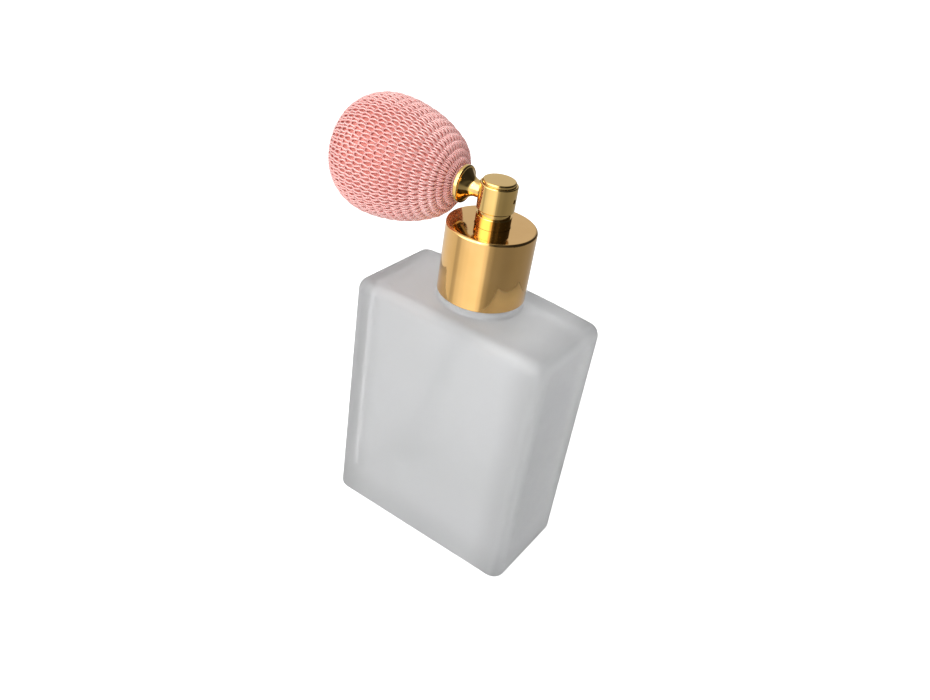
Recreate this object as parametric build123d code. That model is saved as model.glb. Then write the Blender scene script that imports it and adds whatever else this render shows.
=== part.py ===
from build123d import *
import math
import os

# Bulb perfume atomiser: flat oblong glass bottle, metal screw collar, swivelling
# spray head with a side horn, and a squeeze bulb in a knitted net.
# Frame: origin at the centre of the bottle's base, +Z up, +X along the wide face,
# the wide front face looks towards -Y. Millimetres.

# ---------------------------------------------------------------- dimensions
# bottle
BW, BD = 50.0, 26.4                    # width, depth
SH_MID, SH_END = 62.2, 61.0            # the shoulder arches gently along X
R_SIDE, R_FOOT, R_SHOULDER = 3.1, 1.2, 2.9
WALL, FLOOR, CAV_TOP = 2.8, 6.5, 58.2  # wall, thick base, top of the cavity
BOSS_R, BOSS_TOP = 9.5, 63.62          # low round boss under the collar
NECK_R, NECK_BORE, NECK_TOP = 6.6, 4.5, 76.4
# 15 mm screw finish
PITCH, TH_CREST, TH_TURNS, TH_Z0 = 2.117, 7.35, 1.75, 70.6
LIN_R, LIN_BORE, LIN_CREST, LIN_TURNS = 9.33, 7.62, 6.87, 1.6
# collar
COL_R, COL_WALL, COL_Z0, COL_Z1, COL_HOLE = 9.77, 0.40, 63.80, 79.80, 3.92
# post and head
POST_R, POST_Z0, POST_Z1 = 3.84, 79.55, 82.15
HEAD_R, HEAD_WALL, HEAD_Z0, HEAD_Z1 = 4.045, 0.40, 83.22, 89.02
CAP_R, CAP_FLAT_R, CAP_Z0, CAP_TOP = 3.56, 3.20, 88.85, 89.76
AXIS_Z = 86.25                         # height of the horn and bulb axis
SWIVEL = 4.0                           # rest angle of the horn behind -X, degrees
SPINDLE_R, SOCKET_R = 2.40, 2.45
# horn
TUBE_R, RIM_S0, RIM_S1, RIM_R, RIM_WALL = 1.80, 7.46, 8.50, 4.10, 0.46
# bulb: s is the distance from the head axis along the horn
BULB_C, BULB_A1, BULB_A2, BULB_R, BULB_P1, BULB_P2 = 27.6, 21.45, 11.40, 13.36, 1.15, 0.73
NET_T, RUBBER_T, BULB_GAP = 0.50, 1.40, 0.12
VALVE_BALL_R, VALVE_LIFT = 0.70, 0.50

os.makedirs("parts", exist_ok=True)


def save(shape, name):
    solids = shape.solids()
    body = solids[0] if len(solids) == 1 else Compound(children=list(solids))
    export_step(body, f"parts/{name}.step")
    return shape


def tube(r_out, r_in, z0, z1):
    """A round sleeve about Z; r_in 0 makes a rod."""
    out = Pos(0, 0, (z0 + z1) / 2) * Cylinder(r_out, z1 - z0)
    if r_in > 0:
        out -= Pos(0, 0, (z0 + z1) / 2) * Cylinder(r_in, z1 - z0 + 2)
    return out


def turned(points):
    """A solid of revolution about Z from (r, z) corners."""
    pts = [(r, 0, z) for r, z in points]
    return revolve(make_face(Polyline(*pts, close=True)), Axis.Z, 360)


def along(shape):
    """Places a shape built about Z, whose z is the distance from the head axis, on the horn axis."""
    laid = Rot(0, 0, 180 + SWIVEL) * (Rot(0, 90, 0) * shape)
    return Pos(0, 0, AXIS_Z) * laid


def opposite(shape):
    """The same on the spray side, facing away from the horn."""
    laid = Rot(0, 0, SWIVEL) * (Rot(0, 90, 0) * shape)
    return Pos(0, 0, AXIS_Z) * laid


def thread_ridge(root, crest, z0, turns, w_root, w_crest, inward):
    """A right-hand helical ridge of trapezoid section, its root sunk into the wall."""
    sink = 0.15
    r_path = root
    path = Helix(pitch=PITCH, height=PITCH * turns, radius=r_path, center=(0, 0, z0))
    start = path @ 0
    sgn = -1 if inward else 1
    a = root - sgn * sink
    b = crest
    corners = [(a, -w_root / 2), (b, -w_crest / 2), (b, w_crest / 2), (a, w_root / 2)]
    pts = [(r, 0, start.Z + z) for r, z in corners]
    section = make_face(Polyline(*pts, close=True))
    return sweep(section, path=path, is_frenet=True)


# ---------------------------------------------------------------- bottle
side = Wire([Line((-BW / 2, 0, 0), (BW / 2, 0, 0)).edge(), Line((BW / 2, 0, 0), (BW / 2, 0, SH_END)).edge(),
             ThreePointArc((BW / 2, 0, SH_END), (0, 0, SH_MID), (-BW / 2, 0, SH_END)).edge(),
             Line((-BW / 2, 0, SH_END), (-BW / 2, 0, 0)).edge()])
outer = extrude(Face(side), BD / 2, dir=(0, 1, 0), both=True)
outer = fillet(outer.edges().filter_by(Axis.Z), R_SIDE)
outer = fillet([e for e in outer.edges() if e.center().Z > SH_END - 1.0], R_SHOULDER)
outer = fillet(outer.edges().group_by(Axis.Z)[0], R_FOOT)
outer += tube(BOSS_R, 0, 55.0, BOSS_TOP)
outer = fillet([e for e in outer.edges() if e.geom_type != GeomType.LINE and abs(e.length - 2 * math.pi * BOSS_R) < 1.5
                and e.center().Z < BOSS_TOP - 0.5 and e.center().Z > SH_END], 0.6)
outer = fillet([e for e in outer.edges() if e.geom_type == GeomType.CIRCLE and abs(e.center().Z - BOSS_TOP) < 0.01], 0.4)
neck = tube(NECK_R, 0, SH_END - 2.0, NECK_TOP)
neck = fillet(neck.edges().group_by(Axis.Z)[-1], 0.4)
ch = CAV_TOP - FLOOR
cavity = Pos(0, 0, FLOOR + ch / 2) * Box(BW - 2 * WALL, BD - 2 * WALL, ch)
cavity = fillet(cavity.edges().filter_by(Axis.Z), 2.4)
cavity = fillet(cavity.edges().group_by(Axis.Z)[-1], 2.2)
cavity = fillet(cavity.edges().group_by(Axis.Z)[0], 2.2)
bore = tube(NECK_BORE, 0, CAV_TOP - 1.0, NECK_TOP + 1)
ridge_out = thread_ridge(NECK_R, TH_CREST, TH_Z0, TH_TURNS, 1.15, 0.5, False)
bottle = outer + neck + ridge_out - cavity - bore
save(bottle, "bottle")

# ---------------------------------------------------------------- collar
shell = tube(COL_R, 0, COL_Z0, COL_Z1)
shell = fillet(shell.edges().group_by(Axis.Z)[-1], 0.55)
shell = chamfer(shell.edges().group_by(Axis.Z)[0], 0.12)
shell -= tube(COL_R - COL_WALL, 0, COL_Z0 - 1, COL_Z1 - 0.45)
shell -= tube(COL_HOLE, 0, COL_Z0, COL_Z1 + 1)
save(shell, "collar_shell")

LIN_TOP, LIN_ROOF = COL_Z1 - 0.47, 78.35
liner = tube(LIN_R, 0, COL_Z0 + 0.3, LIN_TOP)
liner = chamfer(liner.edges().group_by(Axis.Z)[-1], 0.3)
liner -= tube(LIN_BORE, 0, COL_Z0 - 1, LIN_ROOF)
liner -= tube(3.50, 0, COL_Z0, COL_Z1 + 1)
# the liner's ridge runs half a pitch above the neck's, so the two never meet
ridge_in = thread_ridge(LIN_BORE, LIN_CREST, TH_Z0 - PITCH / 2, LIN_TURNS, 0.85, 0.35, True)
liner = liner + ridge_in
save(liner, "threaded_liner")

# ---------------------------------------------------------------- plug, gasket, tubes
save(tube(6.45, 4.37, NECK_TOP + 0.04, 77.18), "neck_gasket")

plug = turned([
    (0, 72.5), (4.15, 72.5), (4.35, 72.9), (4.35, 77.2), (6.5, 77.2), (6.5, 78.30),
    (3.44, 78.30), (3.44, 79.50), (SPINDLE_R, 79.50), (SPINDLE_R, 83.55), (2.0, 83.55),
    (2.0, 84.0), (SPINDLE_R, 84.0), (SPINDLE_R, 84.3), (1.95, 84.3), (1.95, 84.78),
    (SPINDLE_R, 84.78), (SPINDLE_R, 84.88), (SPINDLE_R - 0.1, 84.96), (0, 84.96)])
plug -= tube(1.52, 0, 72.0, 76.0)          # dip tube socket
plug -= tube(0.82, 0, 75.0, 77.0)          # liquid tube hole
plug -= tube(2.70, 0, 76.6, 77.4)          # air gallery
plug -= tube(1.35, 0, 77.0, 86.0)          # air passage
for k in range(3):
    plug -= Rot(0, 0, 60 + 120 * k) * (Pos(2.6, 0, 0) * tube(0.45, 0, 72.0, 77.0))
save(plug, "inner_plug")

dip_path = Spline((0, 0, 75.9), (-0.3, 0, 61.0), (-6.2, 0, 40.0), (-9.6, 0, 22.0), (-11.0, 0, 8.6),
                  tangents=[(0, 0, -1), (-0.05, 0, -1)])
dip = sweep(Plane(origin=dip_path @ 0, z_dir=dip_path % 0) * Circle(1.50), path=dip_path)
dip -= sweep(Plane(origin=dip_path @ 0, z_dir=dip_path % 0) * Circle(0.85), path=dip_path)
save(dip, "dip_tube")

save(tube(0.80, 0.45, 74.5, 86.0), "liquid_tube")

post = tube(POST_R, SPINDLE_R + 0.02, POST_Z0, POST_Z1)
post = chamfer(post.edges().group_by(Axis.Z)[-1].sort_by(SortBy.RADIUS)[-1:], 0.12)
save(post, "post_sleeve")
save(tube(3.50, SPINDLE_R + 0.03, POST_Z1 + 0.01, HEAD_Z0 - 0.05), "swivel_bearing")
ring = Pos(0, 0, 84.54) * Torus(2.195, 0.225)
save(ring, "swivel_o_ring")

# ---------------------------------------------------------------- head
head = tube(HEAD_R, 0, HEAD_Z0, HEAD_Z1)
head = fillet(head.edges().group_by(Axis.Z)[-1], 0.26)
head = chamfer(head.edges().group_by(Axis.Z)[0], 0.3)
head -= tube(HEAD_R - HEAD_WALL, 0, HEAD_Z0 - 1, HEAD_Z1 + 1)
head -= along(tube(TUBE_R + 0.02, 0, 2.5, 6.0))
head -= opposite(tube(0.50, 0, 2.5, 6.0))
save(head, "head_shell")

core = tube(3.62, 0, HEAD_Z0 + 0.12, CAP_Z0 - 0.01)
core -= tube(SOCKET_R, 0, HEAD_Z0 - 1, 85.00)
core -= tube(1.95, 0, 84.9, 87.60)
core -= tube(2.92, 0, 83.58, 83.97)
core -= tube(1.22, 0, 88.05, 90.0)
core -= along(tube(1.27, 0, 1.0, 5.0))
core -= opposite(tube(1.12, 0, 1.0, 5.0))
save(core, "head_core")

cap = turned([(0, CAP_TOP), (CAP_FLAT_R, CAP_TOP), (3.33, CAP_TOP - 0.025), (3.44, CAP_TOP - 0.09), (3.52, CAP_TOP - 0.19),
              (CAP_R, CAP_TOP - 0.32), (CAP_R, CAP_Z0), (1.20, CAP_Z0), (1.20, 88.15), (0, 88.15)])
save(cap, "head_cap")

clip = tube(2.86, 2.06, 83.63, 83.92)
clip -= Rot(0, 0, 90) * (Pos(2.5, 0, 83.8) * Box(3.0, 2.0, 2.0))
save(clip, "head_clip")

elbow = tube(1.15, 0, 85.12, 86.95) + opposite(tube(0.70, 0, 0.0, 2.95))
elbow -= tube(0.85, 0, 85.0, 86.1)
elbow -= tube(0.45, 0, 86.0, 86.45)
elbow -= opposite(tube(0.32, 0, 0.0, 3.2))
save(elbow, "jet_elbow")

nozzle = tube(1.10, 0, 2.60, 3.44)
nozzle -= tube(0.72, 0, 2.0, 3.02)
nozzle -= tube(0.20, 0, 2.0, 4.0)
nozzle -= Pos(0, 0, 3.30) * Cone(0.20, 0.42, 0.30)
save(opposite(nozzle), "nozzle_insert")

# ---------------------------------------------------------------- horn and nipple
flare_out = Spline((TUBE_R, 0, 4.7), (1.92, 0, 5.5), (2.42, 0, 6.4), (3.10, 0, 7.1), (3.72, 0, 7.56),
                   tangents=[(0, 0, 1), (0.85, 0, 0.5)])
flare_in = Spline((3.62, 0, 7.72), (2.78, 0, 7.25), (2.06, 0, 6.6), (1.58, 0, 5.75), (1.42, 0, 4.9),
                  tangents=[(-0.85, 0, -0.5), (0, 0, -1)])
horn_wire = Wire([Line((1.42, 0, 3.66), (TUBE_R, 0, 3.66)).edge(), Line((TUBE_R, 0, 3.66), (TUBE_R, 0, 4.7)).edge(),
                  flare_out.edge(), Line((3.72, 0, 7.56), (3.62, 0, 7.72)).edge(), flare_in.edge(),
                  Line((1.42, 0, 4.9), (1.42, 0, 3.66)).edge()])
horn = revolve(Face(horn_wire), Axis.Z, 360)
skirt = tube(RIM_R, 0, RIM_S0, RIM_S1)
skirt = fillet(skirt.edges().group_by(Axis.Z)[0], 0.40)
skirt = fillet(skirt.edges().group_by(Axis.Z)[-1], 0.20)
skirt -= tube(RIM_R - RIM_WALL, 0, RIM_S0 - 1, RIM_S1 + 1)
horn += skirt
save(along(horn), "horn")

nipple = turned([
    (0.55, 2.05), (1.25, 2.05), (1.25, 9.2), (1.52, 9.2), (1.27, 10.6), (1.27, 10.7), (1.52, 10.7), (1.27, 12.1),
    (1.27, 12.2), (1.52, 12.2), (1.30, 13.2), (0.95, 13.2), (0.95, 9.0), (0.55, 9.0)])
save(along(nipple), "horn_nipple")
SEAT_A = 10.62
save(along(tube(0.93, 0.50, SEAT_A, 12.2)), "air_valve_seat")
SEAT_DROP = math.sqrt(VALVE_BALL_R ** 2 - 0.50 ** 2)
save(along(Pos(0, 0, SEAT_A - SEAT_DROP - 0.05) * Sphere(VALVE_BALL_R)), "air_valve_ball")
save(along(tube(2.72, 2.14, 7.95, 8.75)), "neck_clamp")

# ---------------------------------------------------------------- bulb and net


def net_radius(s):
    """Outer radius of the net at distance s from the head axis."""
    if s >= BULB_C:
        u = min(1.0, (s - BULB_C) / BULB_A2)
        return BULB_R * (1 - u * u) ** (BULB_P2 / 2)
    c = (BULB_C - s) / BULB_A1
    return BULB_R * (1 - c * c) ** (BULB_P1 / 2)


TAIL = BULB_C + BULB_A2


def profile(inset, s_first, mouth):
    """Points (r, s) of the bulb's outline moved inwards by inset, from the mouth to the tail."""
    raw = [(3.22, 7.56), (3.28, 7.85), (3.34, 8.12), (3.46, 8.42), (3.70, 8.69), (4.12, 8.93), (5.00, 9.30), (5.92, 9.83),
           (6.85, 10.50)]
    first = 11.3
    a0 = math.acos((BULB_C - first) / BULB_A1)
    for k in range(14):
        a = a0 + (math.pi / 2 - a0) * k / 14
        s = BULB_C - BULB_A1 * math.cos(a)
        raw.append((net_radius(s), s))
    for k in range(0, 16):
        u = (math.pi / 2) * k / 16
        s = BULB_C + BULB_A2 * math.sin(u)
        raw.append((net_radius(s), s))
    raw.append((0.0, TAIL))
    out = []
    n = len(raw)
    for i, (r, s) in enumerate(raw):
        r0, s0 = raw[max(i - 1, 0)]
        r1, s1 = raw[min(i + 1, n - 1)]
        tr, ts = r1 - r0, s1 - s0
        if i == n - 1:
            tr, ts = -1.0, 0.0
        length = math.hypot(tr, ts)
        q = (r - ts / length * inset, s + tr / length * inset)
        if i == n - 1 or (q[1] > s_first and q[0] > 0.8):
            out.append((max(0.0, q[0]), q[1]) if i < n - 1 else (0.0, q[1]))
    return list(mouth) + out


def shell_of(out_pts, in_pts):
    """A closed-ended shell of revolution between two profiles that both reach the axis."""
    o = Spline(*[(r, 0, s) for r, s in out_pts])
    i = Spline(*[(r, 0, s) for r, s in in_pts])
    a, b = out_pts[0], in_pts[0]
    mouth = Line((a[0], 0, a[1]), (b[0], 0, b[1]))
    tail = Line((0, 0, out_pts[-1][1]), (0, 0, in_pts[-1][1]))
    wire = Wire([mouth.edge(), o.edge(), tail.edge(), i.edge()])
    return revolve(Face(wire), Axis.Z, 360)


net = shell_of(profile(0.0, 0.0, []), profile(NET_T, 0.0, []))
save(along(net), "net_cover")

# the rubber: a necked balloon that fills the net
rub_out = profile(NET_T + BULB_GAP, 11.4,
                  [(2.10, 6.95), (2.10, 7.60), (2.10, 8.20), (2.14, 8.90), (2.60, 9.50), (4.00, 10.10), (5.60, 10.75)])
rub_in = profile(NET_T + BULB_GAP + RUBBER_T, 13.6,
                 [(1.28, 6.95), (1.28, 7.60), (1.30, 8.40), (1.56, 9.10), (1.56, 10.0), (1.58, 11.0), (2.30, 11.7),
                  (4.20, 12.3), (6.20, 13.0)])
TAIL_IN = rub_in[-1][1]
bulb = shell_of(rub_out, rub_in)
# thickened tail boss with the inlet valve's hole
boss = tube(3.4, 0, TAIL_IN - 2.2, TAIL_IN + 0.3)
boss = fillet(boss.edges().group_by(Axis.Z)[0], 0.5)
bulb += boss
bulb -= tube(1.95, 0, TAIL_IN - 4, TAIL + 2)
save(along(bulb), "bulb_bladder")

V0, V1 = TAIL_IN - 3.0, TAIL - NET_T - BULB_GAP - 0.03
body = tube(1.90, 0, V0, V1) + tube(2.9, 0, V0, V0 + 0.7)
body -= tube(1.00, 0, V0 - 1, V1 - 0.9)
body -= tube(0.50, 0, V0, V1 + 1)
save(along(body), "tail_valve_body")
SEAT_B = V1 - 0.9
BALL_B = SEAT_B - SEAT_DROP - 0.05 - VALVE_LIFT
save(along(Pos(0, 0, BALL_B) * Sphere(VALVE_BALL_R)), "tail_valve_ball")
keeper = tube(0.98, 0.40, V0 + 0.02, V0 + 0.75)
for k in range(4):
    keeper -= Rot(0, 0, 90 * k) * (Pos(0.69, 0, 0) * tube(0.17, 0, V0 - 1, V0 + 2))
save(along(keeper), "tail_valve_keeper")
# drawcord that gathers the mouth of the net round the neck, in front of the clamp
save(along(Pos(0, 0, 7.74) * Torus(2.55, 0.16)), "net_drawcord")
print("tail", TAIL, "valve body", V0, V1, "ball", BALL_B)
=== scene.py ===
import bpy
import math
import numpy as np
from mathutils import Vector, Matrix


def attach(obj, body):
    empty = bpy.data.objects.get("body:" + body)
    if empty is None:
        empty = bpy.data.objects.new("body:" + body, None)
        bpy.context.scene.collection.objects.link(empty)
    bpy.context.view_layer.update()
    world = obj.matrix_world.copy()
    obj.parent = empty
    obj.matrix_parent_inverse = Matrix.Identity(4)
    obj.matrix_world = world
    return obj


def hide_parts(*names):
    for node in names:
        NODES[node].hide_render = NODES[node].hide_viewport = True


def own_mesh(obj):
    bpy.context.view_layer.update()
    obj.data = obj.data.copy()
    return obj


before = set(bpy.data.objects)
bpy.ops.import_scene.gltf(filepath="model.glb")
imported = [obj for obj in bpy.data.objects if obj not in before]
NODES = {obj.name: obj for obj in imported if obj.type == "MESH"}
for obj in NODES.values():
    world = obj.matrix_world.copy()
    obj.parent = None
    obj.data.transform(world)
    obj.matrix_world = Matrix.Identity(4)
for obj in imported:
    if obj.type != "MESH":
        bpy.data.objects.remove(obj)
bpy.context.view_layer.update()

MM = 0.001
RNG = np.random.default_rng(7)

# ------------------------------------------------------------------ materials


def new_material(name):
    m = bpy.data.materials.new(name)
    m.use_nodes = True
    nt = m.node_tree
    nt.nodes.clear()
    out = nt.nodes.new("ShaderNodeOutputMaterial")
    p = nt.nodes.new("ShaderNodeBsdfPrincipled")
    nt.links.new(p.outputs["BSDF"], out.inputs["Surface"])
    tc = nt.nodes.new("ShaderNodeTexCoord")
    return m, nt, p, tc


def noise(nt, tc, scale, detail=3.0, rough=0.5, stretch=None, coord="Object"):
    n = nt.nodes.new("ShaderNodeTexNoise")
    n.inputs["Scale"].default_value = scale
    n.inputs["Detail"].default_value = detail
    n.inputs["Roughness"].default_value = rough
    if stretch:
        mp = nt.nodes.new("ShaderNodeMapping")
        mp.inputs["Scale"].default_value = stretch
        nt.links.new(tc.outputs[coord], mp.inputs["Vector"])
        nt.links.new(mp.outputs["Vector"], n.inputs["Vector"])
    else:
        nt.links.new(tc.outputs[coord], n.inputs["Vector"])
    return n


def ramp(nt, fac, stops, interpolation="LINEAR"):
    r = nt.nodes.new("ShaderNodeValToRGB")
    r.color_ramp.interpolation = interpolation
    e = r.color_ramp.elements
    while len(e) > 1:
        e.remove(e[-1])
    e[0].position, e[0].color = stops[0][0], tuple(stops[0][1]) + (1,)
    for pos, col in stops[1:]:
        x = e.new(pos)
        x.color = tuple(col) + (1,)
    nt.links.new(fac, r.inputs["Fac"])
    return r


def to_range(nt, value, lo, hi, a=0.3, b=0.7):
    r = nt.nodes.new("ShaderNodeMapRange")
    r.inputs["From Min"].default_value, r.inputs["From Max"].default_value = a, b
    r.inputs["To Min"].default_value, r.inputs["To Max"].default_value = lo, hi
    nt.links.new(value, r.inputs["Value"])
    return r.outputs["Result"]


def bump(nt, p, height, strength, distance, onto=None):
    b = nt.nodes.new("ShaderNodeBump")
    b.inputs["Strength"].default_value = strength
    b.inputs["Distance"].default_value = distance
    nt.links.new(height, b.inputs["Height"])
    if onto is not None:
        nt.links.new(onto, b.inputs["Normal"])
    nt.links.new(b.outputs["Normal"], p.inputs["Normal"])
    return b.outputs["Normal"]


def metal(name, dark, light, r0, r1, tone_scale=160.0, grain=0.05, brushed=None):
    """Polished metal: slow tone drift, fine roughness mottling and a faint polish grain."""
    m, nt, p, tc = new_material(name)
    p.inputs["Metallic"].default_value = 1.0
    drift = noise(nt, tc, tone_scale, 2.0)
    c = ramp(nt, drift.outputs["Fac"], [(0.3, dark), (0.7, light)])
    nt.links.new(c.outputs["Color"], p.inputs["Base Color"])
    smear = noise(nt, tc, 900.0, 4.0, 0.6)
    nt.links.new(to_range(nt, smear.outputs["Fac"], r0, r1), p.inputs["Roughness"])
    fine = noise(nt, tc, 5200.0, 2.0, 0.5, stretch=brushed)
    bump(nt, p, fine.outputs["Fac"], grain, 0.00002)
    return m


def plastic(name, dark, light, rough, grain=0.15, scale=3500.0, transmission=0.0, ior=1.49):
    m, nt, p, tc = new_material(name)
    drift = noise(nt, tc, 260.0, 3.0)
    c = ramp(nt, drift.outputs["Fac"], [(0.3, dark), (0.7, light)])
    nt.links.new(c.outputs["Color"], p.inputs["Base Color"])
    p.inputs["IOR"].default_value = ior
    p.inputs["Transmission Weight"].default_value = transmission
    spread = noise(nt, tc, 1200.0, 3.0)
    nt.links.new(to_range(nt, spread.outputs["Fac"], rough - 0.05, rough + 0.07), p.inputs["Roughness"])
    fine = noise(nt, tc, scale, 3.0, 0.6)
    bump(nt, p, fine.outputs["Fac"], grain, 0.00003)
    return m


def frosted_glass():
    """Acid-etched glass: milky outside, clear inside, with painted shade: the colour is a little deeper in tone
    towards the left and right sides and the base.
    """
    m, nt, p, tc = new_material("FrostedGlass")
    p.inputs["IOR"].default_value = 1.45
    p.inputs["Transmission Weight"].default_value = 0.74
    p.inputs["Specular IOR Level"].default_value = 0.42
    cloud = noise(nt, tc, 55.0, 2.0, 0.45)
    c = ramp(nt, cloud.outputs["Fac"], [(0.25, (0.862, 0.871, 0.872)), (0.5, (0.875, 0.880, 0.886)), (0.78, (0.881, 0.887, 0.899))])
    sep = nt.nodes.new("ShaderNodeSeparateXYZ")
    nt.links.new(tc.outputs["Object"], sep.inputs["Vector"])

    def sided(axis):
        a = nt.nodes.new("ShaderNodeMath"); a.operation = "ABSOLUTE"
        nt.links.new(sep.outputs[axis], a.inputs[0])
        return a.outputs[0]

    def smooth(value, a, b, lo, hi):
        r = to_range(nt, value, lo, hi, a, b)
        r.node.interpolation_type = "SMOOTHSTEP"
        return r

    def times(x, y):
        k = nt.nodes.new("ShaderNodeMath"); k.operation = "MULTIPLY"
        nt.links.new(x, k.inputs[0])
        nt.links.new(y, k.inputs[1])
        return k.outputs[0]

    wx, wy = sided("X"), sided("Y")
    # painted shade: the colour darkens towards |x| = 22.8 mm and below z = 10 mm, and the side faces past |x| = 25 mm
    # are lifted back to full tone
    painted_edge_shade = smooth(wx, 0.0155, 0.0228, 1.0, 0.82)
    base = smooth(sep.outputs["Z"], 0.0045, 0.0100, 0.962, 1.0)
    face = smooth(wx, 0.0236, 0.0250, 1.0, 1.0 / 0.82)
    tone = times(times(painted_edge_shade, base), face)
    # the painted shade multiplies the glass colour
    painted_shade_colour = nt.nodes.new("ShaderNodeMix"); painted_shade_colour.data_type = "RGBA"; painted_shade_colour.blend_type = "MULTIPLY"
    painted_shade_colour.inputs["Factor"].default_value = 1.0
    nt.links.new(c.outputs["Color"], painted_shade_colour.inputs["A"])
    painted_shade_grey = nt.nodes.new("ShaderNodeCombineColor")
    for k in ("Red", "Green", "Blue"):
        nt.links.new(tone, painted_shade_grey.inputs[k])
    nt.links.new(painted_shade_grey.outputs["Color"], painted_shade_colour.inputs["B"])
    nt.links.new(painted_shade_colour.outputs["Result"], p.inputs["Base Color"])
    # etched outside, polished inside the cavity
    inside = times(times(smooth(wx, 0.0226, 0.0229, 1.0, 0.0), smooth(wy, 0.0109, 0.0112, 1.0, 0.0)),
                   times(smooth(sep.outputs["Z"], 0.0010, 0.0014, 0.0, 1.0), smooth(sep.outputs["Z"], 0.0590, 0.0594, 1.0, 0.0)))
    etch = noise(nt, tc, 420.0, 4.0, 0.6)
    rough = to_range(nt, etch.outputs["Fac"], 0.44, 0.54)
    pol = nt.nodes.new("ShaderNodeMath"); pol.operation = "MULTIPLY_ADD"
    nt.links.new(inside, pol.inputs[0])
    pol.inputs[1].default_value = -0.34
    nt.links.new(rough, pol.inputs[2])
    nt.links.new(pol.outputs[0], p.inputs["Roughness"])
    grain = noise(nt, tc, 5200.0, 3.0, 0.65)
    bump(nt, p, grain.outputs["Fac"], 0.16, 0.00004)
    return m


def yarn(name, shade, light, painted_shade_colour, coat=0.25):
    """Glossy two-ply rayon yarn: the plies wind round it, with stray filaments, a dyed tone that drifts, and painted
    shade in the grooves between the plies.
    """
    m, nt, p, tc = new_material(name)
    sep = nt.nodes.new("ShaderNodeSeparateXYZ")
    nt.links.new(tc.outputs["UV"], sep.inputs["Vector"])
    # plies: two ridges wind round the yarn; UV x is millimetres along it, y turns round it
    turn = nt.nodes.new("ShaderNodeMath"); turn.operation = "MULTIPLY_ADD"
    nt.links.new(sep.outputs["X"], turn.inputs[0])
    turn.inputs[1].default_value = 1.15
    nt.links.new(sep.outputs["Y"], turn.inputs[2])
    ang = nt.nodes.new("ShaderNodeMath"); ang.operation = "MULTIPLY"
    nt.links.new(turn.outputs[0], ang.inputs[0])
    ang.inputs[1].default_value = 4 * math.pi
    sn = nt.nodes.new("ShaderNodeMath"); sn.operation = "SINE"
    nt.links.new(ang.outputs[0], sn.inputs[0])
    ply = nt.nodes.new("ShaderNodeMath"); ply.operation = "MULTIPLY_ADD"
    nt.links.new(sn.outputs[0], ply.inputs[0])
    ply.inputs[1].default_value = 0.5
    ply.inputs[2].default_value = 0.5
    drift = noise(nt, tc, 120.0, 2.0)
    c = ramp(nt, drift.outputs["Fac"], [(0.28, shade), (0.72, light)])
    # painted shade: the colour is mixed towards the darker last colour in the grooves between the plies
    mix = nt.nodes.new("ShaderNodeMix"); mix.data_type = "RGBA"; mix.blend_type = "MIX"
    ply_groove_shade = to_range(nt, ply.outputs[0], 0.55, 0.0, 0.0, 0.45)
    nt.links.new(ply_groove_shade, mix.inputs["Factor"])
    nt.links.new(c.outputs["Color"], mix.inputs["A"])
    mix.inputs["B"].default_value = tuple(painted_shade_colour) + (1,)
    nt.links.new(mix.outputs["Result"], p.inputs["Base Color"])
    fil = noise(nt, tc, 9000.0, 3.0, 0.6)
    nt.links.new(to_range(nt, fil.outputs["Fac"], 0.24, 0.38), p.inputs["Roughness"])
    p.inputs["IOR"].default_value = 1.60
    p.inputs["Specular IOR Level"].default_value = 0.85
    n1 = bump(nt, p, ply.outputs[0], 0.35, 0.00005)
    bump(nt, p, fil.outputs["Fac"], 0.18, 0.00002, onto=n1)
    p.inputs["Sheen Weight"].default_value = 0.10
    p.inputs["Sheen Roughness"].default_value = 0.4
    p.inputs["Sheen Tint"].default_value = (1.0, 0.86, 0.84, 1.0)
    p.inputs["Coat Weight"].default_value = coat
    p.inputs["Coat Roughness"].default_value = 0.22
    p.inputs["Subsurface Weight"].default_value = 0.12
    p.inputs["Subsurface Radius"].default_value = (0.0006, 0.0003, 0.00025)
    p.inputs["Subsurface Scale"].default_value = 1.0
    return m


GOLD_A = metal("GoldAluminium", (0.750, 0.455, 0.165), (0.790, 0.490, 0.190), 0.060, 0.095)
GOLD_B = metal("GoldBrass", (0.745, 0.500, 0.175), (0.790, 0.545, 0.205), 0.045, 0.080)
BRASS = metal("BrassFitting", (0.62, 0.42, 0.16), (0.74, 0.52, 0.23), 0.16, 0.30, grain=0.2, brushed=(1, 1, 6))
STEEL = metal("Steel", (0.50, 0.50, 0.51), (0.66, 0.66, 0.66), 0.14, 0.26, grain=0.15)
GLASS = frosted_glass()
WHITE = plastic("WhitePlastic", (0.78, 0.78, 0.76), (0.88, 0.88, 0.86), 0.34)
DARK = plastic("DarkPlastic", (0.016, 0.015, 0.014), (0.035, 0.032, 0.030), 0.38)
FOAM = plastic("FoamGasket", (0.62, 0.61, 0.57), (0.80, 0.79, 0.75), 0.85, grain=0.7, scale=2600.0)
CLEAR = plastic("ClearTube", (0.90, 0.91, 0.92), (0.96, 0.97, 0.98), 0.16, grain=0.05, transmission=0.88)
BLACK = plastic("BlackRubber", (0.014, 0.014, 0.014), (0.030, 0.030, 0.030), 0.52, grain=0.3)
RUBBER = plastic("BulbRubber", (0.800, 0.300, 0.250), (0.870, 0.370, 0.315), 0.42, grain=0.25, scale=2200.0)
# the last colour of each yarn is the painted shade in its ply grooves
YARN = yarn("PinkNetYarn", (0.940, 0.465, 0.435), (0.975, 0.580, 0.545), (0.840, 0.325, 0.295))
CORD = yarn("PinkDrawcord", (0.800, 0.330, 0.300), (0.870, 0.410, 0.375), (0.600, 0.190, 0.170))

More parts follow.
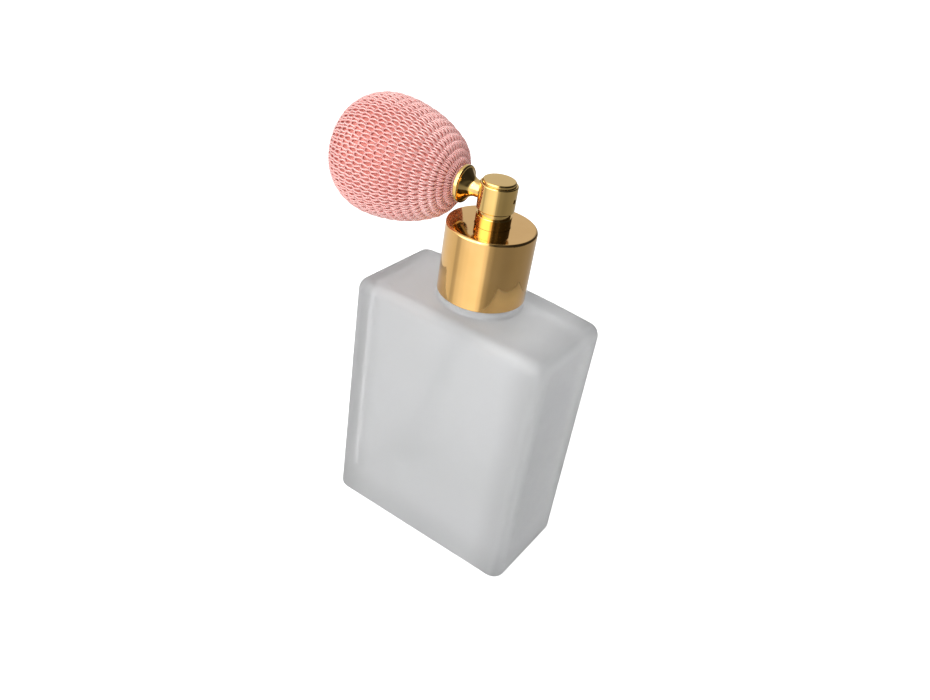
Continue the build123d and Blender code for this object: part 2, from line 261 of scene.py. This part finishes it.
LOOK = {
    "bottle": GLASS, "collar_shell": GOLD_A, "threaded_liner": WHITE, "neck_gasket": FOAM,
    "inner_plug": WHITE, "dip_tube": CLEAR, "liquid_tube": STEEL, "post_sleeve": GOLD_B,
    "swivel_bearing": GOLD_B, "swivel_o_ring": BLACK, "head_shell": GOLD_B, "head_core": DARK,
    "head_cap": GOLD_B, "head_clip": STEEL, "jet_elbow": BRASS, "nozzle_insert": BRASS,
    "horn": GOLD_B, "horn_nipple": BRASS, "air_valve_seat": WHITE, "air_valve_ball": STEEL,
    "neck_clamp": STEEL, "tail_valve_body": BRASS, "tail_valve_keeper": WHITE,
    "tail_valve_ball": STEEL,
}
for name, m in LOOK.items():
    for s in NODES[name].material_slots:
        s.material = m

# ------------------------------------------------------------------ bulb frame
AXIS = np.array([0.0, 0.0, 86.25])
SWIVEL = math.radians(184.0)
E_S = np.array([math.cos(SWIVEL), math.sin(SWIVEL), 0.0])   # away from the head, along the bulb
E_Z = np.array([0.0, 0.0, 1.0])
E_T = np.cross(E_S, E_Z)
BULB_C, BULB_A1, BULB_A2, BULB_R, BULB_P1, BULB_P2 = 27.6, 21.45, 11.40, 13.36, 1.15, 0.73


def at(r, ang, s):
    """Row-frame points, in metres, for radius r, angle ang from +Z and distance s along the bulb axis."""
    r, ang, s = np.broadcast_arrays(r, ang, s)
    p = (AXIS + s[..., None] * E_S + (r * np.cos(ang))[..., None] * E_Z + (r * np.sin(ang))[..., None] * E_T)
    return p * MM


def net_radius(s):
    if s >= BULB_C:
        u = min(1.0, (s - BULB_C) / BULB_A2)
        return BULB_R * max(0.0, 1 - u * u) ** (BULB_P2 / 2)
    c = (BULB_C - s) / BULB_A1
    return BULB_R * (1 - c * c) ** (BULB_P1 / 2)


def meridian():
    """The net's outline from its mouth to its tail, evenly spaced by length: r, s, normals, length."""
    pts = [(3.22, 7.56), (3.28, 7.85), (3.34, 8.12), (3.46, 8.42), (3.70, 8.69), (4.12, 8.93), (5.00, 9.30), (5.92, 9.83), (6.85, 10.50)]
    a0 = math.acos((BULB_C - 11.3) / BULB_A1)
    for k in range(60):
        s = BULB_C - BULB_A1 * math.cos(a0 + (math.pi / 2 - a0) * k / 60)
        pts.append((net_radius(s), s))
    for k in range(200):
        s = BULB_C + BULB_A2 * math.sin((math.pi / 2) * k / 200)
        pts.append((net_radius(s), s))
    pts.append((0.0, BULB_C + BULB_A2))
    p = np.array(pts)
    for _ in range(2):                       # takes the kinks out of the first few points
        q = p.copy()
        q[1:11] = 0.25 * p[:10] + 0.5 * p[1:11] + 0.25 * p[2:12]
        p = q
    d = np.r_[0.0, np.cumsum(np.hypot(*np.diff(p, axis=0).T))]
    v = np.linspace(0.0, d[-1], 900)
    r, s = np.interp(v, d, p[:, 0]), np.interp(v, d, p[:, 1])
    tr, ts = np.gradient(r, v), np.gradient(s, v)
    k = np.ones(9) / 9
    pad = lambda x: np.convolve(np.pad(x, 4, mode="edge"), k, mode="valid")
    tr, ts = pad(tr), pad(ts)
    n = np.hypot(tr, ts)
    return v, r, s, ts / n, -tr / n


V, VR, VS, VNR, VNS = meridian()


def outline(v, inset):
    """(r, s) at length v along the outline, moved inwards by inset."""
    r, s = np.interp(v, V, VR), np.interp(v, V, VS)
    return r - inset * np.interp(v, V, VNR), s - inset * np.interp(v, V, VNS)


def mesh_object(name, verts, faces, material, smooth=True, uvs=None):
    me = bpy.data.meshes.new(name)
    me.from_pydata([tuple(map(float, p)) for p in verts], [], [tuple(map(int, f)) for f in faces])
    me.validate()
    me.materials.append(material)
    if uvs is not None:
        layer = me.uv_layers.new(name="YarnUV")
        layer.data.foreach_set("uv", np.asarray(uvs, np.float32).ravel())
    me.polygons.foreach_set("use_smooth", [smooth] * len(me.polygons))
    me.update()
    o = bpy.data.objects.new(name, me)
    bpy.context.scene.collection.objects.link(o)
    return o


def tube_mesh(path, out_dir, rho, sides, closed, twist=0.0, lobes=0.0):
    """Vertices, quads and UVs of a round yarn along path (n,3 in metres); rho is a radius for each point."""
    n = len(path)
    if closed:
        tan = np.roll(path, -1, 0) - np.roll(path, 1, 0)
        seg = np.linalg.norm(np.roll(path, -1, 0) - path, axis=1)
    else:
        tan = np.gradient(path, axis=0)
        seg = np.r_[np.linalg.norm(np.diff(path, axis=0), axis=1), 0.0]
    tan /= np.linalg.norm(tan, axis=1)[:, None]
    side = np.cross(tan, out_dir)
    side /= np.linalg.norm(side, axis=1)[:, None]
    up = np.cross(side, tan)
    length = np.r_[0.0, np.cumsum(seg)][:n + 1] / MM
    a = 2 * np.pi * np.arange(sides) / sides
    rr = rho[:, None] * (1 + lobes * np.cos(2 * (a[None, :] - twist * length[:n, None])))
    verts = (path[:, None, :] + rr[..., None] * (np.cos(a)[None, :, None] * up[:, None, :]
                                                 + np.sin(a)[None, :, None] * side[:, None, :])).reshape(-1, 3)
    rows = n if closed else n - 1
    i = np.arange(rows)[:, None]
    k = np.arange(sides)[None, :]
    j = (i + 1) % n
    k2 = (k + 1) % sides
    faces = np.stack([i * sides + k, i * sides + k2, j * sides + k2, j * sides + k], -1).reshape(-1, 4)
    u0, u1 = length[:rows][:, None], length[1:rows + 1][:, None]
    w0, w1 = k / sides, (k + 1) / sides
    z = np.zeros((rows, sides))
    uv = np.stack([np.stack([u0 + z, w0 + z], -1), np.stack([u0 + z, w1 + z], -1),
                   np.stack([u1 + z, w1 + z], -1), np.stack([u1 + z, w0 + z], -1)], 2).reshape(-1, 2)
    faces = [tuple(f) for f in faces]
    if not closed:
        base = len(verts)
        faces.append(tuple(range(sides))[::-1])
        faces.append(tuple(base - sides + q for q in range(sides)))
        uv = np.vstack([uv, np.zeros((2 * sides, 2))])
    return verts, faces, uv


def joined(parts):
    verts, faces, uvs, off = [], [], [], 0
    for v, f, u in parts:
        verts.append(v)
        faces += [tuple(int(x) + off for x in q) for q in f]
        uvs.append(u)
        off += len(v)
    return np.vstack(verts), faces, np.vstack(uvs)


# ------------------------------------------------------------------ knitted net
WALES = 48
SEG, SIDES = 18, 8
YARN_R = 0.205


def yarn_radius(v):
    pitch = 2 * np.pi * np.interp(v, V, VR) / WALES
    share = 0.180 + 0.065 * np.clip((np.asarray(v) - 3.0) / 7.0, 0, 1)      # drawn tighter at the mouth
    return np.clip(share * pitch, 0.078, YARN_R)


def course_step(v):
    """Course spacing along the outline: tight where the mouth and the tail are gathered."""
    r = np.interp(v, V, VR)
    near = 1.62 + 0.50 * np.clip((v - 0.8) / 9.0, 0, 1)
    tail = 0.80 + 0.150 * r if v > 0.5 * V[-1] else 9.0
    return float(min(near, tail, 2.08))


def loops(j, v0, c, wales=WALES):
    """One course of interlooped stitches: a closed yarn ring, with each stitch a little different."""
    n = wales * SEG
    t = 2 * np.pi * np.arange(n) / SEG
    x = np.arange(n) / SEG

    def uneven(amount):
        k = RNG.normal(0.0, amount, wales)
        f = x % wales
        i0 = np.floor(f).astype(int) % wales
        w = f - np.floor(f)
        w = w * w * (3 - 2 * w)
        return k[i0] * (1 - w) + k[(i0 + 1) % wales] * w

    rho = float(yarn_radius(v0))
    gather = float(np.clip(1 - (v0 - 3.0) / 10.0, 0, 1))      # 1 where the mouth is drawn in
    a = 0.180 + 0.030 * gather + uneven(0.010)
    b = 0.010 + 0.115 * gather
    h = 0.5 * (c + 2.3 * rho) * (1 + uneven(0.020))
    u = t / (2 * np.pi) + a * np.sin(2 * t) - b * np.sin(t) + uneven(0.028)
    ang = 2 * np.pi * u / wales
    v = np.clip(v0 + h * np.cos(t) + uneven(0.035), 0.02, V[-1] - 0.02)
    depth = (1.10 + 1.30 * gather) * rho
    radius = np.minimum(yarn_radius(v), rho * 1.08)
    r, s = outline(v, rho + depth * (1 + np.cos(2 * t)) + 0.02 + uneven(0.012))
    path = at(r, ang, s)
    nr, ns = np.interp(v, V, VNR), np.interp(v, V, VNS)
    out = at(nr, ang, ns) - at(0 * nr, ang, 0 * ns)
    out /= np.linalg.norm(out, axis=1)[:, None]
    return tube_mesh(path, out, radius * MM, SIDES, True)


V_MOUTH, V_TAIL = 0.55, V[-1] - 2.75
courses, v = [], V_MOUTH
while v < V_TAIL:
    c = course_step(v)
    courses.append((v, c))
    v += c
scale = (V_TAIL - V_MOUTH) / (courses[-1][0] - V_MOUTH)
courses = [(V_MOUTH + (v - V_MOUTH) * scale, c * scale) for v, c in courses]

KEEP_FULL = 0.70
soft = []
group, body_part, made = [], 0, []


def finish_group(tag, keep, parts):
    verts, faces, uv = joined(parts)
    o = mesh_object(tag, verts, faces, YARN, uvs=uv)
    made.append(o)
    soft.append((o, keep))


for j, (v, c) in enumerate(courses):
    s_here = float(np.interp(v, V, VS))
    ring = loops(j, v, c)
    x = min(1.0, max(0.0, (s_here - 8.2) / 13.0))
    keep = 1 - (1 - KEEP_FULL) * (x * x * (3 - 2 * x))
    if keep > KEEP_FULL + 0.004:
        finish_group(f"net_course_{j + 1:02d}", keep, [ring])
    else:
        group.append(ring)
        if len(group) == 14 or j == len(courses) - 1:
            body_part += 1
            finish_group(f"net_body_{body_part}", KEEP_FULL, group)
            group = []


def ring_cord(name, r0, s0, strand, offset, turns, material, ends=None):
    """A two-ply cord laid in a ring about the bulb axis."""
    n = 360
    parts = []
    th = 2 * np.pi * np.arange(n) / n
    for k in range(2):
        ph = turns * th + k * np.pi
        r, s = r0 + offset * np.cos(ph), s0 + offset * np.sin(ph)
        path = at(r, th, s)
        out = at(np.cos(ph), th, np.sin(ph)) - at(np.zeros(n), th, np.zeros(n))
        out /= np.linalg.norm(out, axis=1)[:, None]
        parts.append(tube_mesh(path, out, np.full(n, strand) * MM, 8, True))
    for e in ends or []:
        parts.append(e)
    verts, faces, uv = joined(parts)
    return mesh_object(name, verts, faces, material, uvs=uv)


drawcord = ring_cord("mouth_drawcord", 2.55, 7.74, 0.085, 0.075, 18, CORD)
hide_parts("net_drawcord")

# tail tie: the last loops are drawn in round the inlet valve by a two-ply cord, knotted with two short ends
r_t, s_t = outline(V[-1] - 2.45, 0.12)


def loose_end(a0, bend, length):
    q = np.linspace(0, 1, 26)
    ang = a0 + bend * q
    r = r_t + 0.15 + length * q
    vv = V[-1] - (V[-1] - np.interp(r, VR[::-1], V[::-1]))
    rr, ss = outline(vv, -0.20 - 0.12 * np.sin(np.pi * q))
    path = at(rr, ang, ss)
    out = np.tile(E_S, (len(q), 1))
    rad = np.full(len(q), 0.17)
    rad[-1], rad[-2] = 0.10, 0.15
    return tube_mesh(path, out, rad * MM, 8, False)


def knot():
    """A small overhand knot where the tie closes."""
    q = 2 * np.pi * np.arange(96) / 96
    k = 0.24
    x, y, z = np.sin(q) + 2 * np.sin(2 * q), np.cos(q) - 2 * np.cos(2 * q), -np.sin(3 * q)
    centre = at(np.array([float(r_t) + 0.25]), np.array([2.6]), np.array([float(s_t) + 0.30]))[0]
    a, b = at(1.0, 2.6, 0.0) - at(0.0, 2.6, 0.0), at(1.0, 2.6 + math.pi / 2, 0.0) - at(0.0, 2.6 + math.pi / 2, 0.0)
    path = centre + (x[:, None] * a + y[:, None] * b) * k * 0.95 + z[:, None] * (E_S * MM) * k * 0.8
    out = np.tile(E_S, (96, 1)) + 0.2 * (path - centre) / np.linalg.norm(path - centre, axis=1)[:, None]
    out /= np.linalg.norm(out, axis=1)[:, None]
    return tube_mesh(path, out, np.full(96, 0.16) * MM, 8, True)


tie = ring_cord("net_tail_tie", float(r_t), float(s_t) + 0.08, 0.15, 0.13, 15, CORD,
                ends=[loose_end(2.6, 0.45, 2.6), loose_end(2.6, -0.60, 2.2), knot()])
soft.append((tie, KEEP_FULL))

# ------------------------------------------------------------------ rubber bulb under the net


def revolve(name, prof, material, segments=112, ridge=0.0):
    """A closed body of revolution about the bulb axis; prof is a closed loop of (r, s)."""
    prof = np.array(prof, float)
    m = len(prof)
    ang = 2 * np.pi * np.arange(segments) / segments
    rid = ridge * (np.exp(-((np.abs(np.sin(ang / 2)) / 0.018) ** 2)) + np.exp(-((np.abs(np.cos(ang / 2)) / 0.018) ** 2)))
    verts = np.concatenate([at(prof[:, 0] + rid[k] * (prof[:, 0] > 2.4), np.full(m, a), prof[:, 1]) for k, a in enumerate(ang)])
    faces = []
    for i in range(segments):
        i2 = (i + 1) % segments
        for k in range(m):
            k2 = (k + 1) % m
            faces.append((i * m + k, i * m + k2, i2 * m + k2, i2 * m + k))
    return mesh_object(name, verts, faces, material)


out_p = [(2.10, 6.95), (2.10, 7.60), (2.10, 8.20), (2.14, 8.80), (2.38, 9.30), (3.05, 9.80), (4.00, 10.25), (5.10, 10.75)]
for v in np.linspace(5.6, V[-1] - 2.35, 64):
    r, s = outline(v, 0.95)
    if r > out_p[-1][0] - 0.2 or s > 20:
        out_p.append((float(r), float(s)))
tail_s = out_p[-1][1]
out_p += [(2.03, tail_s + 0.02), (1.96, tail_s - 0.05), (1.95, tail_s - 1.4), (1.95, tail_s - 3.6), (3.35, tail_s - 3.7), (3.4, tail_s - 2.1)]
in_p = []
for v in np.linspace(V[-1] - 4.6, 8.4, 50):
    r, s = outline(v, 2.10)
    in_p.append((float(r), float(s)))
in_p += [(4.20, 12.3), (2.30, 11.7), (1.58, 11.0), (1.56, 10.0), (1.56, 9.1), (1.30, 8.4), (1.28, 7.6), (1.28, 6.95)]
bladder = revolve("bulb_rubber", out_p + in_p, RUBBER, ridge=0.05)
soft.append((bladder, KEEP_FULL))

for o, keep in soft:
    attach(o, "head")
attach(drawcord, "head")
for o in made:
    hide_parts("net_cover")
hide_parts("bulb_bladder")
for o, keep in soft:
    if keep < 0.999:
        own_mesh(o)

# ------------------------------------------------------------------ floor, light, camera
floor = mesh_object("floor", [(-1.5, -1.5, -0.00002), (1.5, -1.5, -0.00002), (1.5, 1.5, -0.00002), (-1.5, 1.5, -0.00002)],
                    [(0, 1, 2, 3)], new_material("PaleFloor")[0], smooth=False)
fm = floor.data.materials[0]
fp = next(n for n in fm.node_tree.nodes if n.type == "BSDF_PRINCIPLED")
fp.inputs["Base Color"].default_value = (0.92, 0.92, 0.92, 1)
fp.inputs["Roughness"].default_value = 0.9
fp.inputs["Specular IOR Level"].default_value = 0.0
f_nt = fm.node_tree
f_out = next(n for n in f_nt.nodes if n.type == "OUTPUT_MATERIAL")
f_path = f_nt.nodes.new("ShaderNodeLightPath")
f_glow = f_nt.nodes.new("ShaderNodeEmission")
f_glow.inputs["Strength"].default_value = 0.72
f_none = f_nt.nodes.new("ShaderNodeEmission")
f_none.inputs["Strength"].default_value = 0.0
f_pick = f_nt.nodes.new("ShaderNodeMixShader")
f_add = f_nt.nodes.new("ShaderNodeAddShader")
f_seen = f_nt.nodes.new("ShaderNodeMath"); f_seen.operation = "MULTIPLY_ADD"; f_seen.use_clamp = True
f_nt.links.new(f_path.outputs["Is Transmission Ray"], f_seen.inputs[0])
f_seen.inputs[1].default_value = 0.60
f_nt.links.new(f_path.outputs["Is Camera Ray"], f_seen.inputs[2])
f_nt.links.new(f_seen.outputs[0], f_pick.inputs["Fac"])
f_nt.links.new(f_none.outputs[0], f_pick.inputs[1])
f_nt.links.new(f_glow.outputs[0], f_pick.inputs[2])
f_nt.links.new(fp.outputs[0], f_add.inputs[0])
f_nt.links.new(f_pick.outputs[0], f_add.inputs[1])
f_nt.links.new(f_add.outputs[0], f_out.inputs["Surface"])
floor.visible_glossy = False

world = bpy.data.worlds.new("Studio")
bpy.context.scene.world = world
world.use_nodes = True
world.cycles.sampling_method = "NONE"
wt = world.node_tree
wt.nodes.clear()
w_out = wt.nodes.new("ShaderNodeOutputWorld")
w_mix = wt.nodes.new("ShaderNodeMixShader")
w_path = wt.nodes.new("ShaderNodeLightPath")
w_soft = wt.nodes.new("ShaderNodeBackground")
w_soft.inputs["Color"].default_value = (1, 1, 1, 1)
w_soft.inputs["Strength"].default_value = 0.68
w_gloss = wt.nodes.new("ShaderNodeBackground")
w_tc = wt.nodes.new("ShaderNodeTexCoord")
w_sep = wt.nodes.new("ShaderNodeSeparateXYZ")
wt.links.new(w_tc.outputs["Generated"], w_sep.inputs["Vector"])
w_az = wt.nodes.new("ShaderNodeMath"); w_az.operation = "ARCTAN2"
wt.links.new(w_sep.outputs["Y"], w_az.inputs[0])
wt.links.new(w_sep.outputs["X"], w_az.inputs[1])
w_unit = wt.nodes.new("ShaderNodeMapRange")
w_unit.inputs["From Min"].default_value = -math.pi
w_unit.inputs["From Max"].default_value = math.pi
wt.links.new(w_az.outputs[0], w_unit.inputs["Value"])


def g(x):
    return (x, x * 0.99, x * 0.97)


def around(stops):
    """Studio cards by direction: (degrees from +X, brightness)."""
    return ramp(wt, w_unit.outputs["Result"], [((a + 180) / 360, g(b)) for a, b in stops], "EASE")


low = around([(-180, 0.95), (-163, 0.92), (-149, 0.86), (-143, 0.60), (-137, 0.66), (-128, 1.02), (-112, 1.22), (-100, 1.34),
              (-72, 1.45), (-62, 1.15), (-54, 0.52), (-40, 0.33), (-10, 0.28), (30, 0.32), (65, 0.36), (95, 0.48), (130, 0.80), (180, 0.95)])
high = around([(-180, 1.10), (-150, 1.20), (-128, 3.60), (-112, 4.20), (-82, 3.90), (-66, 1.80), (-57, 0.25), (-44, 0.06), (-22, 0.10), (-8, 0.04),
               (40, 0.03), (88, 0.05), (102, 0.40), (114, 0.72), (150, 0.78), (180, 1.10)])
w_elev = wt.nodes.new("ShaderNodeMapRange")
w_elev.interpolation_type = "SMOOTHSTEP"
w_elev.inputs["From Min"].default_value = -0.20
w_elev.inputs["From Max"].default_value = 0.10
wt.links.new(w_sep.outputs["Z"], w_elev.inputs["Value"])
w_blend = wt.nodes.new("ShaderNodeMix"); w_blend.data_type = "RGBA"
wt.links.new(w_elev.outputs["Result"], w_blend.inputs["Factor"])
wt.links.new(low.outputs["Color"], w_blend.inputs["A"])
wt.links.new(high.outputs["Color"], w_blend.inputs["B"])
wt.links.new(w_blend.outputs["Result"], w_gloss.inputs["Color"])
w_white = wt.nodes.new("ShaderNodeBackground")
w_white.inputs["Color"].default_value = (1, 1, 1, 1)
w_white.inputs["Strength"].default_value = 1.0
w_seen = wt.nodes.new("ShaderNodeMixShader")
w_through = wt.nodes.new("ShaderNodeMath"); w_through.operation = "MULTIPLY_ADD"; w_through.use_clamp = True
wt.links.new(w_path.outputs["Is Transmission Ray"], w_through.inputs[0])
w_through.inputs[1].default_value = 0.85
wt.links.new(w_path.outputs["Is Camera Ray"], w_through.inputs[2])
wt.links.new(w_through.outputs[0], w_seen.inputs["Fac"])
wt.links.new(w_soft.outputs[0], w_seen.inputs[1])
wt.links.new(w_white.outputs[0], w_seen.inputs[2])
w_notin = wt.nodes.new("ShaderNodeMath"); w_notin.operation = "SUBTRACT"; w_notin.use_clamp = True
wt.links.new(w_path.outputs["Is Glossy Ray"], w_notin.inputs[0])
wt.links.new(w_path.outputs["Is Transmission Ray"], w_notin.inputs[1])
wt.links.new(w_notin.outputs[0], w_mix.inputs["Fac"])
wt.links.new(w_seen.outputs[0], w_mix.inputs[1])
wt.links.new(w_gloss.outputs[0], w_mix.inputs[2])
wt.links.new(w_mix.outputs[0], w_out.inputs["Surface"])


def area(name, azimuth, elevation, distance, size, watts, target=(0, 0, 0.05), glossy=True):
    """A soft box that looks at target; azimuth in degrees from +X."""
    a, e = math.radians(azimuth), math.radians(elevation)
    d = Vector((math.cos(a) * math.cos(e), math.sin(a) * math.cos(e), math.sin(e)))
    L = bpy.data.lights.new(name, "AREA")
    L.shape = "DISK"
    L.size = size
    L.energy = watts
    o = bpy.data.objects.new(name, L)
    bpy.context.scene.collection.objects.link(o)
    o.location = Vector(target) + d * distance
    o.rotation_mode = "QUATERNION"
    o.rotation_quaternion = (-d).to_track_quat("-Z", "Y")
    o.visible_glossy = glossy
    return o


area("key", -100, 32, 0.50, 0.36, 0.88, target=(-0.008, 0, 0.07), glossy=False)
area("spark", -84, 38, 0.60, 0.10, 0.36, target=(-0.02, 0, 0.08))

T = Vector((-1.102, -0.597, 47.737)) * MM
AZ, EL, ROLL, DIST = math.radians(29.810), math.radians(32.914), math.radians(9.653), 196.180 * MM
back = Vector((math.sin(AZ) * math.cos(EL), -math.cos(AZ) * math.cos(EL), math.sin(EL)))
right = (-back).cross(Vector((0, 0, 1))).normalized()
up = right.cross(-back)
r2 = math.cos(ROLL) * right + math.sin(ROLL) * up
u2 = -math.sin(ROLL) * right + math.cos(ROLL) * up
cam = bpy.data.cameras.new("Camera")
cam.sensor_width = 36.0
cam.lens = 33.07
cam.clip_start, cam.clip_end = 0.005, 20.0
cam_o = bpy.data.objects.new("Camera", cam)
bpy.context.scene.collection.objects.link(cam_o)
cam_o.matrix_world = Matrix((( r2.x, u2.x, back.x, 0), (r2.y, u2.y, back.y, 0), (r2.z, u2.z, back.z, 0), (0, 0, 0, 1)))
cam_o.location = T + back * DIST
bpy.context.scene.camera = cam_o

vs = bpy.context.scene.view_settings
vs.view_transform = "Standard"
vs.look = "None"
vs.exposure = 0.0
vs.gamma = 1.0
